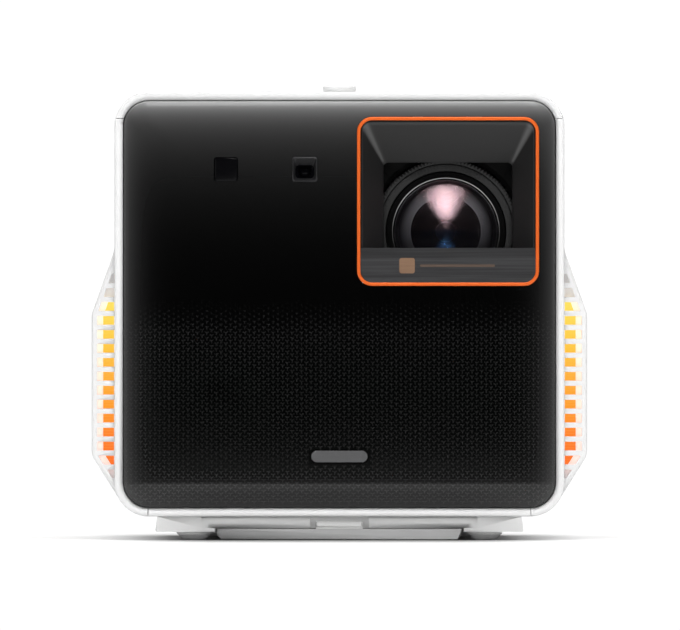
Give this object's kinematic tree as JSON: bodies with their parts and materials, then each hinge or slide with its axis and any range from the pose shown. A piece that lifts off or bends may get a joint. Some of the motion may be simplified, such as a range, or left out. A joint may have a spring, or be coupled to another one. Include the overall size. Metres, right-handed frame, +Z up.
{
  "type": "home projector",
  "caption": "Cube-shaped home projector with a recessed lens in an orange frame, vented side wings with light bars, a fold-down tilt stand, a joystick and push buttons.",
  "frame": {"origin": "middle of the footprint, at the height of the surface that the feet stand on", "axes": "+X to the right as seen from the front, -Y towards the screen (the front), +Z up"},
  "size_m": [0.216, 0.215, 0.1985],
  "materials": {
    "shell": "satin white moulded plastic",
    "panel": "satin to gloss black",
    "rear_panel": "fine matt black",
    "screws": "black oxide",
    "ring": "orange anodised",
    "hood": "matt dark grey",
    "strip": "dark, brushed along its length",
    "badges": "plain raised marks",
    "sensor": "polished, dark",
    "bezel": "matt",
    "camera_lens": "polished",
    "light_bar": "translucent light guide, lit yellow to orange",
    "holder": "matt",
    "mesh": "perforated sheet, painted orange",
    "plinth": "light grey",
    "brass": "machined",
    "stand": "satin mid grey",
    "lip": "satin light grey",
    "steel": "turned",
    "collar": "satin light grey",
    "rubber": "grey rubber",
    "button": "satin white",
    "board": "green circuit board",
    "switch": "black",
    "inner_plastic": "matt black",
    "knob": "satin white",
    "lens_glass": "coated glass",
    "lens_black": "matt black",
    "lens_grey": "satin dark grey",
    "gear_plastic": "natural acetal",
    "cast_metal": "die cast",
    "copper": "copper plate",
    "aluminium": "bare",
    "sheet_steel": "plated sheet",
    "magnet": "ferrite",
    "cone": "coated paper"
  },
  "bodies": {
    "case": {"top_cover": "shell", "right_side_cover": "shell", "left_side_cover": "shell", "base_cover": "shell", "front_panel": "panel", "rear_panel": "rear_panel", "rear_screws": "screws", "lens_ring": "ring", "lens_hood": "hood", "trim_strip": "strip", "blank_badges": "badges", "sensor_window": "sensor", "camera_bezel": "bezel", "camera_lens": "camera_lens", "light_bars": "light_bar", "light_bar_holders": "holder", "vent_meshes": "mesh", "base_plinth": "plinth", "mount_inserts": "brass", "stand_hinge_pins": "steel", "foot_collars": "collar", "foot_pads": "rubber", "control_board": "board", "button_switches": "switch", "joystick_base": "inner_plastic", "lens_barrel": "lens_black", "rear_lenses": "lens_glass", "focus_motor": "steel", "lens_shroud": "inner_plastic", "light_engine": "cast_metal", "led_modules": "copper", "led_heatsink": "aluminium", "dmd_board": "board", "dmd_heatsink": "aluminium", "chassis": "sheet_steel", "main_board": "board", "hdmi_sockets": "sheet_steel", "usb_sockets": "sheet_steel", "audio_jack": "inner_plastic", "dc_inlet": "inner_plastic", "fan_frames": "inner_plastic", "speaker_frames": "sheet_steel", "speaker_magnets": "magnet", "speaker_cones": "cone"},
    "stand": {"tilt_stand": "stand", "stand_pull_lip": "lip"},
    "power_key": {"power_button": "button"},
    "mode_key": {"mode_button": "button"},
    "gimbal": {"joystick_gimbal": "steel"},
    "stem": {"joystick_stem": "steel"},
    "knob": {"joystick_knob": "knob"},
    "focus_wheel": {"focus_ring": "lens_grey"},
    "pinion": {"focus_pinion": "gear_plastic"},
    "front_group": {"front_lens": "lens_glass", "front_lens_cell": "lens_black", "inner_lens_cell": "lens_grey", "second_lens": "lens_glass"},
    "right_rotor": {"right_fan_rotor": "inner_plastic"},
    "left_rotor": {"left_fan_rotor": "inner_plastic"}
  },
  "joints": [
    {"name": "stand_tilt", "type": "hinge", "parent": "case", "child": "stand", "pos_m": [0, 0.014, 0.0027], "axis": [1, 0, 0], "range_deg": [0, 19]},
    {"name": "power_button_press", "type": "slide", "parent": "case", "child": "power_key", "axis": [0, 0, -1], "range_m": [0, 0.0006], "stiffness_N_per_m": 400, "springref_m": -0.0006},
    {"name": "mode_button_press", "type": "slide", "parent": "case", "child": "mode_key", "axis": [0, 0, -1], "range_m": [0, 0.0006], "stiffness_N_per_m": 400, "springref_m": -0.0006},
    {"name": "joystick_tilt_x", "type": "hinge", "parent": "case", "child": "gimbal", "pos_m": [0, -0.062, 0.1874], "axis": [1, 0, 0], "range_deg": [-5, 5], "stiffness_Nm_per_rad": 0.5},
    {"name": "joystick_tilt_y", "type": "hinge", "parent": "gimbal", "child": "stem", "pos_m": [0, -0.062, 0.1874], "axis": [0, 1, 0], "range_deg": [-5, 5], "stiffness_Nm_per_rad": 0.5},
    {"name": "joystick_press", "type": "slide", "parent": "stem", "child": "knob", "axis": [0, 0, -1], "range_m": [0, 0.0004], "stiffness_N_per_m": 600, "springref_m": -0.0005},
    {"name": "focus_turn", "type": "hinge", "parent": "case", "child": "focus_wheel", "pos_m": [0.0465, -0.07, 0.1346], "axis": [0, 1, 0], "range_deg": [-30, 30]},
    {"name": "focus_pinion_turn", "type": "hinge", "parent": "case", "child": "pinion", "pos_m": [0.0075, -0.06, 0.1346], "axis": [0, 1, 0], "range_deg": [-166, 166]},
    {"name": "front_group_slide", "type": "slide", "parent": "case", "child": "front_group", "axis": [0, 1, 0], "range_m": [-0.001, 0.001]},
    {"name": "right_fan_spin", "type": "hinge", "parent": "case", "child": "right_rotor", "pos_m": [0.0875, 0.042, 0.066], "axis": [1, 0, 0], "continuous": true},
    {"name": "left_fan_spin", "type": "hinge", "parent": "case", "child": "left_rotor", "pos_m": [-0.0875, 0.042, 0.066], "axis": [1, 0, 0], "continuous": true}
  ],
  "couplings": [
    {"joint": "focus_pinion_turn", "follows": "focus_turn", "ratio": -5.5},
    {"joint": "front_group_slide", "follows": "focus_turn", "m_per_rad": 0.0019}
  ]
}
